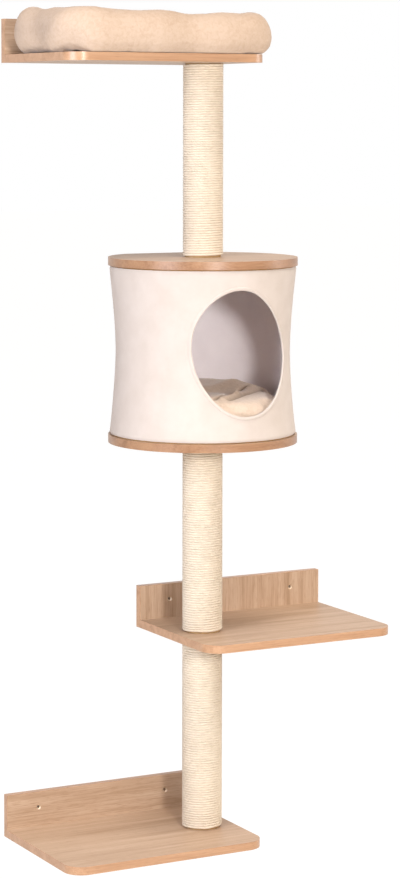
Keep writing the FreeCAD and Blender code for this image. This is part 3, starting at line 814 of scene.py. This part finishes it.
def bolster():
    # the rim as a fat tube bent into a rounded rectangle
    inset = bed["rimWidth"] / 2
    corner = bed["corner"] - inset
    x0, x1, y0, y1 = bedLow.x + inset, bedHigh.x - inset, bedLow.y + inset, bedHigh.y - inset
    centres = [(x1 - corner, y1 - corner, 0), (x0 + corner, y1 - corner, 90),
               (x0 + corner, y0 + corner, 180), (x1 - corner, y0 + corner, 270)]
    path = bpy.data.curves.new("bedRimPath", 'CURVE')
    path.dimensions = '3D'
    spline = path.splines.new('POLY')
    stops = [(cx + corner * math.cos(math.radians(start + step)),
              cy + corner * math.sin(math.radians(start + step)))
             for cx, cy, start in centres for step in range(0, 91, 9)]
    spline.points.add(len(stops) - 1)
    level = (bedLow.z + bedHigh.z) / 2
    for point, (x, y) in zip(spline.points, stops):
        point.co = (x, y, level, 1)
    spline.use_cyclic_u = True
    path.bevel_depth = inset - bed["startSmaller"]
    path.bevel_resolution = 8
    piece = bpy.data.objects.new("bed_rim_plush", path)
    bpy.context.scene.collection.objects.link(piece)
    only(piece)
    bpy.ops.object.convert(target='MESH')
    piece = bpy.context.object
    tall = (bedHigh.z - bedLow.z) / 2 - bed["startSmaller"]
    for v in piece.data.vertices:
        core = Vector((clamp(v.co.x, x0 + corner, x1 - corner), clamp(v.co.y, y0 + corner, y1 - corner)))
        away = Vector((v.co.x, v.co.y)) - core
        turn = math.atan2(v.co.z - level, away.length - corner)
        frontal = max(0.0, -away.normalized().y) ** 2
        square = bed["squareAbove"] if turn > 0 else bed["squareBelow"] + frontal * (
            bed["squareFront"] - bed["squareBelow"])
        full = (abs(math.cos(turn)) ** square + abs(math.sin(turn)) ** square) ** (-1 / square)
        share = clamp((v.co.x - bed["riseFrom"]) / (bed["riseTo"] - bed["riseFrom"]), 0.0, 1.0)
        lift = 1 + bed["leftRise"] * eased(share) if turn > 0 else 1
        place = core + away.normalized() * (corner + path.bevel_depth * full * math.cos(turn))
        v.co = Vector((place.x, place.y, level + tall * lift * full * math.sin(turn)))
        for (fromX, fromRise), (toX, toRise) in zip(bed["topShape"], bed["topShape"][1:]):
            if fromX <= v.co.x < toX and turn > 0:
                share = eased((v.co.x - fromX) / (toX - fromX))
                v.co.z += (fromRise + (toRise - fromRise) * share) * math.sin(turn)
    return piece


def lumpy(piece, amount, scale, seed):
    outward = [v.normal.copy() for v in piece.data.vertices]
    for v, normal in zip(piece.data.vertices, outward):
        v.co += normal * (amount * noise.noise(v.co * scale + Vector((seed, seed, seed))))


def keepBetween(piece, low, high):
    # a piece is flat where it rests and nowhere leaves its box
    for v in piece.data.vertices:
        v.co = Vector([clamp(*limits) for limits in zip(v.co, low, high)])


rim = bolster()
voxelSkin(rim, bed["voxel"])
lumpy(rim, bed["lumps"], bed["lumpScale"], 3.0)
inflate(rim, bed["puff"])
subdivide(rim, 1)
lumpy(rim, bed["pile"], bed["pileScale"], 8.0)
outward = [v.normal.copy() for v in rim.data.vertices]
for v, normal in zip(rim.data.vertices, outward):
    near = max(0.0, 1 - (v.co.z - bedLow.z) / bed["puckerReach"])
    spot = Vector((v.co.x, v.co.y, 0)) * bed["puckerScale"]
    v.co += normal * (bed["puckers"] * near * noise.noise(spot))
    v.co.z -= bed["sag"]
keepBetween(rim, bedLow + Vector((-bed["overLeft"], -bed["overFront"], bed["floorClear"])),
            bedHigh + Vector((bed["overRight"], 0, bed["overTop"])))
smooth(rim, 180)
finishPiece(rim, bedPlush, "bed", ["bed_bolster"])

padLow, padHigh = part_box("bed_base_pad")
bpy.ops.mesh.primitive_cube_add(size=1, location=(padLow + padHigh) / 2)
pad = bpy.context.object
pad.name = "bed_base_plush"
pad.scale = (padHigh.x - padLow.x - bed["padInset"], padHigh.y - padLow.y - bed["padInset"],
             bed["padThick"])
settle(pad)
pad.data.transform(Matrix.Translation((0, 0, -bed["padDrop"])))
soften = pad.modifiers.new("Soften", 'BEVEL')
soften.width = bed["padSoft"]
soften.segments = 3
applyModifiers(pad)
voxelSkin(pad, bed["padVoxel"])
inflate(pad, bed["padPuff"])
subdivide(pad, 1)
lumpy(pad, bed["pile"], bed["pileScale"], 18.0)
keepBetween(pad, padLow + Vector((0, 0, bed["floorClear"])), padHigh + Vector((0, 0, bed["padOverTop"])))
smooth(pad, 180)
finishPiece(pad, bedPlush, "bed", ["bed_base_pad"])

cushionLow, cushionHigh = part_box("condo_cushion")
cushion = {
    "startSmaller": 8 * mm,
    "height": 63 * mm,
    "voxel": 5 * mm,
    "puff": {"pressure": 3.0, "spareCloth": 0.12, "bending": 0.4, "frames": 22, "cap": 10 * mm},
    # each fold runs between two places, right and away from the middle as the camera sees it,
    # then its half width and how high it stands
    "folds": [((34 * mm, -100 * mm), (62 * mm, -35 * mm), 9 * mm, 6 * mm),
              ((62 * mm, -35 * mm), (92 * mm, 50 * mm), 9 * mm, 6 * mm),
              ((5 * mm, 20 * mm), (60 * mm, 90 * mm), 16 * mm, 5 * mm),
              ((20 * mm, -110 * mm), (46 * mm, -53 * mm), 5 * mm, -9 * mm),
              ((46 * mm, -53 * mm), (73 * mm, 40 * mm), 5 * mm, -9 * mm),
              ((73 * mm, 40 * mm), (98 * mm, 68 * mm), 5 * mm, -8 * mm),
              ((47 * mm, -98 * mm), (81 * mm, -23 * mm), 4.5 * mm, -8 * mm),
              ((81 * mm, -23 * mm), (115 * mm, 40 * mm), 4.5 * mm, -8 * mm),
              ((-60 * mm, -60 * mm), (-20 * mm, 60 * mm), 9 * mm, 4 * mm),
              ((-90 * mm, 10 * mm), (-30 * mm, -20 * mm), 4 * mm, -4 * mm)],
    "across": (0.881, -0.474), "deep": (0.474, 0.881),
    "base": 4 * mm, "soft": 22 * mm, "overTop": 9 * mm,
    "backWay": (0.3, 0.95), "backRise": 24 * mm, "unevenness": 6 * mm, "unevenScale": 13,
    "foldsFrom": 0.35,        # of its height, above which the folds show
    # how dark the painted shade in the creases is
    "paintedCreaseShadeStrength": 0.6,
}


def condoCushion():
    radius = (cushionHigh.x - cushionLow.x) / 2 - cushion["startSmaller"]
    base = cushionLow.z + cushion["base"]
    bpy.ops.mesh.primitive_cylinder_add(vertices=96, radius=radius, depth=cushion["height"],
                                        location=(postX, postY, base + cushion["height"] / 2))
    piece = bpy.context.object
    piece.name = "condo_cushion_plush"
    settle(piece)
    soften = piece.modifiers.new("Soften", 'BEVEL')
    soften.width = cushion["soft"]
    soften.segments = 5
    soften.limit_method = 'ANGLE'
    applyModifiers(piece)
    voxelSkin(piece, cushion["voxel"])
    for v in piece.data.vertices:
        away = Vector((v.co.x - postX, v.co.y - postY))
        rise = max(0.0, (v.co.z - base) / cushion["height"])
        back = max(0.0, away.dot(Vector(cushion["backWay"]).normalized()) / radius)
        uneven = cushion["unevenness"] * noise.noise(v.co * cushion["unevenScale"])
        v.co.z += rise * (cushion["backRise"] * back + uneven)
    return piece


def foldCushion(piece):
    low, high = (f(v.co.z for v in piece.data.vertices) for f in (min, max))
    paintedCreaseShade = piece.data.attributes.new("paintedCreaseShade", 'FLOAT', 'POINT')
    for index, v in enumerate(piece.data.vertices):
        away = Vector((v.co.x - postX, v.co.y - postY))
        here = Vector((away.dot(Vector(cushion["across"])), away.dot(Vector(cushion["deep"]))))
        rise = max(0.0, (v.co.z - low) / (high - low) - cushion["foldsFrom"]) / (1 - cushion["foldsFrom"])
        for start, stop, half, stands in cushion["folds"]:
            line = Vector(stop) - Vector(start)
            share = clamp((here - Vector(start)).dot(line) / line.length_squared, 0.0, 1.0)
            gap = (here - Vector(start) - line * share).length
            near = math.exp(-(gap / half) ** 2)
            v.co.z += rise * stands * near
            # the creases also get painted shade in their colour
            if stands < 0:
                creaseShadeHere = cushion["paintedCreaseShadeStrength"] * near * min(1.0, rise * 4)
                paintedCreaseShade.data[index].value = max(paintedCreaseShade.data[index].value, creaseShadeHere)


seat = condoCushion()
inflate(seat, cushion["puff"])
subdivide(seat, 1)
foldCushion(seat)
lumpy(seat, bed["pile"], bed["pileScale"], 28.0)
keepBetween(seat, cushionLow + Vector((0, 0, bed["floorClear"])), cushionHigh + up * cushion["overTop"])
smooth(seat, 180)
finishPiece(seat, cushionPlush, "cushion", ["condo_cushion"])
print("soft pieces made")


# ---------- floor, light and camera ----------

studio = {
    "floorSize": 80, "floorDrop": 0.45, "floorColour": "#F7F7F6", "floorGlow": 1.09, "floorShare": 0.9,
    "worldStrength": 0.25, "worldColour": "#FFD2A4",
    "keyPlace": (-0.60, -3.64, 1.37), "keySize": 0.5, "keyPower": 75.0, "keyColour": "#FFFCFA",
    "topPlace": (0.3, -2.6, 6.6), "topSize": 3.0, "topPower": 290.0, "topColour": "#FFFDFA",
    "rightPlace": (2.95, -1.15, 1.45), "rightSize": 1.1, "rightPower": 28.0, "rightColour": "#FFFFFF",
    "leftPlace": (-2.72, -1.18, 1.6), "leftSize": 1.6, "leftPower": 86.0, "leftColour": "#E6EFFF",
    "aim": (0.1, -0.15, 0.85),
}


def seenDirectly(owner):
    # 1 for a ray from the camera, also by way of a mirror or glass, and 0 for light on its way
    path = addNode(owner, "ShaderNodeLightPath").outputs
    shiny = addNode(owner, "ShaderNodeMath", {0: path["Is Glossy Ray"], 1: path["Is Transmission Ray"]},
                    operation="MAXIMUM").outputs[0]
    return addNode(owner, "ShaderNodeMath", {0: path["Is Camera Ray"], 1: shiny},
                   operation="MAXIMUM").outputs[0]


def skyWorld():
    world = bpy.data.worlds.new("Studio")
    bpy.context.scene.world = world
    world.use_nodes = True
    tree = world.node_tree
    tree.nodes.clear()
    light = addNode(world, "ShaderNodeBackground", {"Color": linear(studio["worldColour"]),
                                                     "Strength": studio["worldStrength"]})
    seen = addNode(world, "ShaderNodeBackground", {"Color": (1, 1, 1, 1), "Strength": 1.0})
    mix = addNode(world, "ShaderNodeMixShader", {
        0: seenDirectly(world), 1: light.outputs[0], 2: seen.outputs[0]})
    addNode(world, "ShaderNodeOutputWorld", {"Surface": mix.outputs[0]})


def studioFloor():
    bpy.ops.mesh.primitive_plane_add(size=studio["floorSize"],
                                     location=(0.1, 0, cadBox[0].z - studio["floorDrop"]))
    floor = bpy.context.object
    floor.name = "studio_floor"
    settle(floor)
    material, shader = newMaterial("Pale studio floor")
    tree = material.node_tree
    setShader(material, shader, {"Base Color": linear(studio["floorColour"]), "Roughness": 0.9,
                                 "Specular IOR Level": 0.1})
    glow = addNode(material, "ShaderNodeEmission", {"Color": (1, 1, 1, 1), "Strength": studio["floorGlow"]})
    share = addNode(material, "ShaderNodeMath", {0: seenDirectly(material), 1: studio["floorShare"]},
                    operation="MULTIPLY").outputs[0]
    mix = addNode(material, "ShaderNodeMixShader", {0: share, 1: shader.outputs[0], 2: glow.outputs[0]})
    output = tree.nodes["Material Output"]
    tree.links.new(mix.outputs[0], output.inputs["Surface"])
    paint(floor, material)


def softLight(name, place, size, power, colour):
    toward = Vector(studio["aim"]) - Vector(place)
    bpy.ops.object.light_add(type='AREA', location=place,
                             rotation=toward.to_track_quat('-Z', 'Y').to_euler())
    light = bpy.context.object
    light.name = name
    light.data.shape = 'DISK'
    light.data.size = size
    light.data.energy = power
    light.data.color = linear(colour)[:3]


skyWorld()
studioFloor()
for lamp in ("key", "top", "right", "left"):
    softLight(lamp, *(studio[lamp + part] for part in ("Place", "Size", "Power", "Colour")))

photoCamera = {
    "place": (-2.1336, -4.3737, 1.3078),
    "yaw": 28.27,             # degrees, turned right from looking straight at the wall
    "pitch": 4.0,             # degrees below level
    "roll": 0.10,
    "lens": 105.03,
    "shift": -0.1636,
    "sensor": 36, "clip": 60,
}
bpy.ops.object.camera_add(location=photoCamera["place"])
camera = bpy.context.object
turned = (Matrix.Rotation(math.radians(-photoCamera["yaw"]), 3, 'Z')
          @ Matrix.Rotation(math.radians(90 - photoCamera["pitch"]), 3, 'X')
          @ Matrix.Rotation(math.radians(photoCamera["roll"]), 3, 'Z'))
camera.rotation_euler = turned.to_euler()
camera.data.lens = photoCamera["lens"]
camera.data.sensor_width = photoCamera["sensor"]
camera.data.shift_y = photoCamera["shift"]
camera.data.clip_end = photoCamera["clip"]
bpy.context.scene.camera = camera
bpy.context.scene.view_settings.view_transform = 'Standard'
print("studio set")
